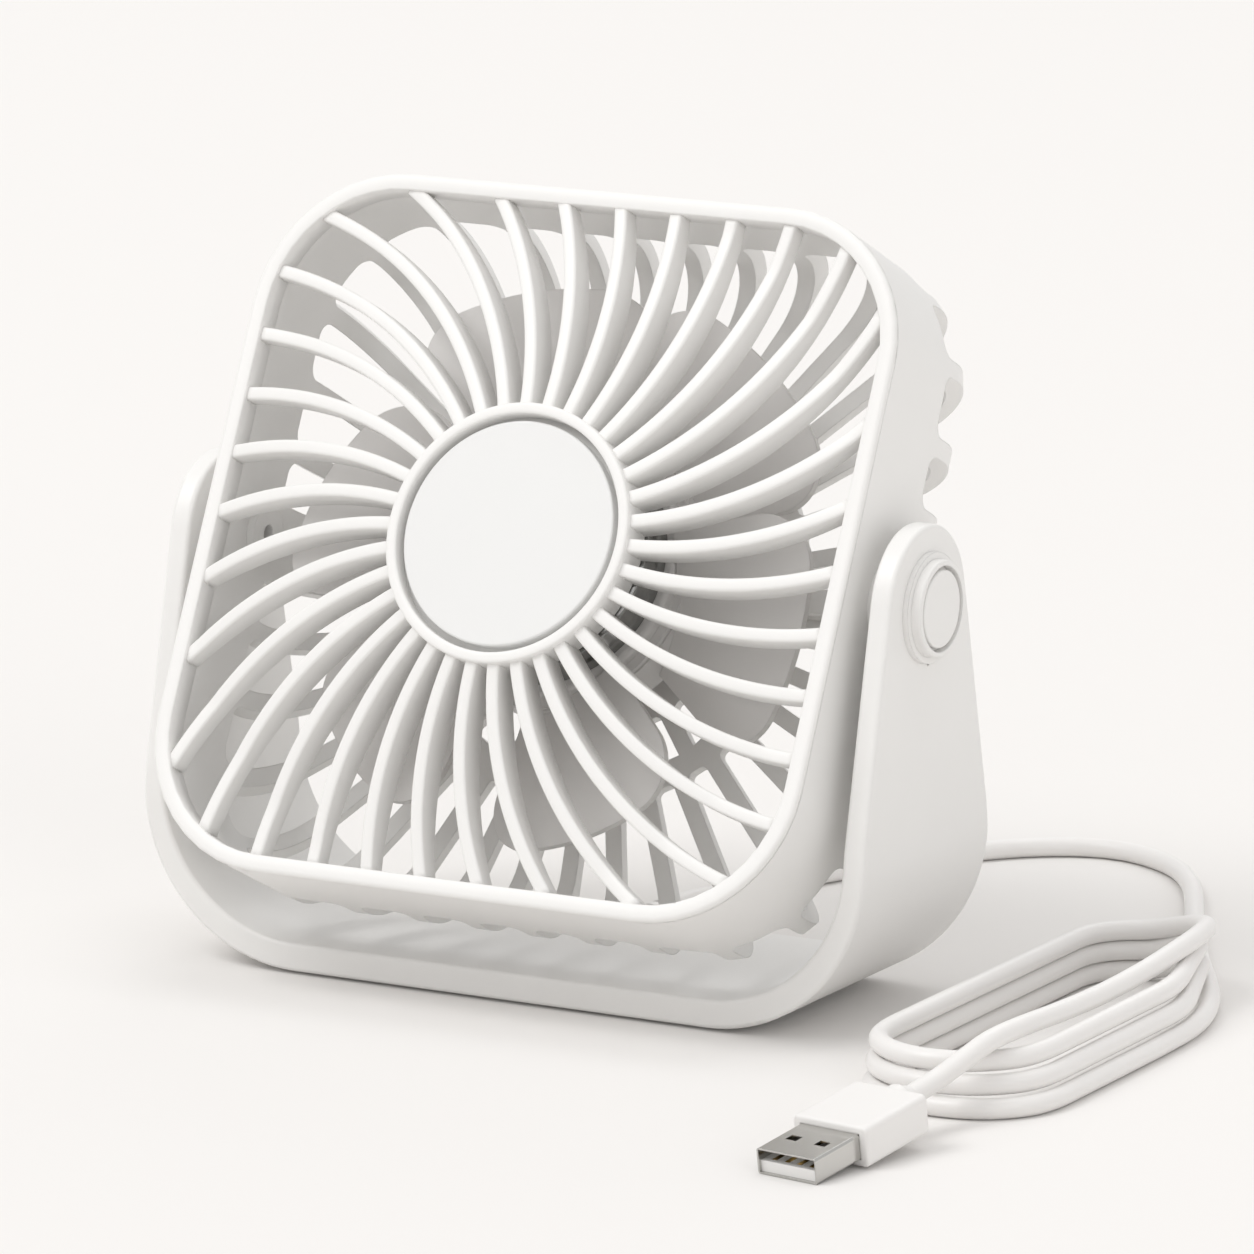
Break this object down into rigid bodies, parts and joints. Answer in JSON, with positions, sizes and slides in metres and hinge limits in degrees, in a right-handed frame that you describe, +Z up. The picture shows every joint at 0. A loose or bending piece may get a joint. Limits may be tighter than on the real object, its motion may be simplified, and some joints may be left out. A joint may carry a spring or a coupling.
{
  "type": "desk fan",
  "caption": "Small square USB desk fan: a grilled head that tilts between the arms of a one-piece U stand, with an outer-rotor fan and a coiled cord.",
  "frame": {"origin": "on the desk, under the middle of the stand's foot pad", "axes": "+X to the fan's left as seen from behind, along the tilt axis; -Y the way the fan blows when upright; +Z up"},
  "size_m": [0.1968, 0.2305, 0.1382],
  "materials": {
    "white_abs": "satin moulded, warm white",
    "cap_plastic": "satin moulded, slightly cooler",
    "button_plastic": "satin moulded",
    "blade_plastic": "semi-gloss, slightly translucent",
    "pad_rubber": "matt, soft",
    "cord_pvc": "soft white jacket",
    "wire_pvc": "insulated wire, white",
    "plug_steel": "nickel plated",
    "tongue_plastic": "moulded insulator",
    "contact_metal": "gold flashed",
    "bright_steel": "bright",
    "can_steel": "polished, drawn",
    "magnet_ferrite": "bonded ferrite, dull",
    "inner_nylon": "natural",
    "bearing_bronze": "sintered",
    "core_steel": "laminated",
    "coil_copper": "enamelled wire",
    "board_laminate": "solder mask",
    "switch_plastic": "moulded",
    "component_body": "moulded"
  },
  "bodies": {
    "stand": {"stand_frame": "white_abs", "foot_pad": "pad_rubber", "pivot_washers": "white_abs", "pivot_cap_right": "white_abs", "pivot_cap_left": "white_abs", "inner_lead": "wire_pvc", "cable_gland": "cord_pvc", "cable_lead": "cord_pvc", "cable_coil": "cord_pvc", "cable_tail": "cord_pvc", "plug_strain_relief": "cord_pvc", "plug_overmold": "cord_pvc", "plug_shell": "plug_steel", "plug_tongue": "tongue_plastic", "plug_contacts": "contact_metal"},
    "head": {"housing": "white_abs", "front_grille": "white_abs", "hub_cap": "cap_plastic", "pivot_bush_right": "white_abs", "pivot_bush_left": "white_abs", "pivot_clips": "bright_steel", "motor_cover": "white_abs", "cover_screws": "bright_steel", "circuit_board": "board_laminate", "tact_switch": "switch_plastic", "board_components": "component_body", "head_lead": "wire_pvc", "bearing_tube": "inner_nylon", "rear_bearing": "bearing_bronze", "front_bearing": "bearing_bronze", "stator_core": "core_steel", "stator_coils": "coil_copper", "driver_board": "board_laminate"},
    "impeller": {"impeller": "blade_plastic", "rotor_can": "can_steel", "ring_magnet": "magnet_ferrite", "motor_shaft": "bright_steel", "shaft_clip": "bright_steel"},
    "button": {"power_button": "button_plastic"}
  },
  "joints": [
    {"name": "head_tilt", "type": "hinge", "parent": "stand", "child": "head", "pos_m": [0, 0, 0.0735], "axis": [1, 0, 0], "range_deg": [-64, 116]},
    {"name": "impeller_spin", "type": "hinge", "parent": "head", "child": "impeller", "pos_m": [0, 0, 0.0735], "axis": [0, -0.8988, 0.4384], "continuous": true},
    {"name": "button_press", "type": "slide", "parent": "head", "child": "button", "axis": [0, -0.8988, 0.4384], "range_m": [0, 0.0006], "stiffness_N_per_m": 3000}
  ]
}
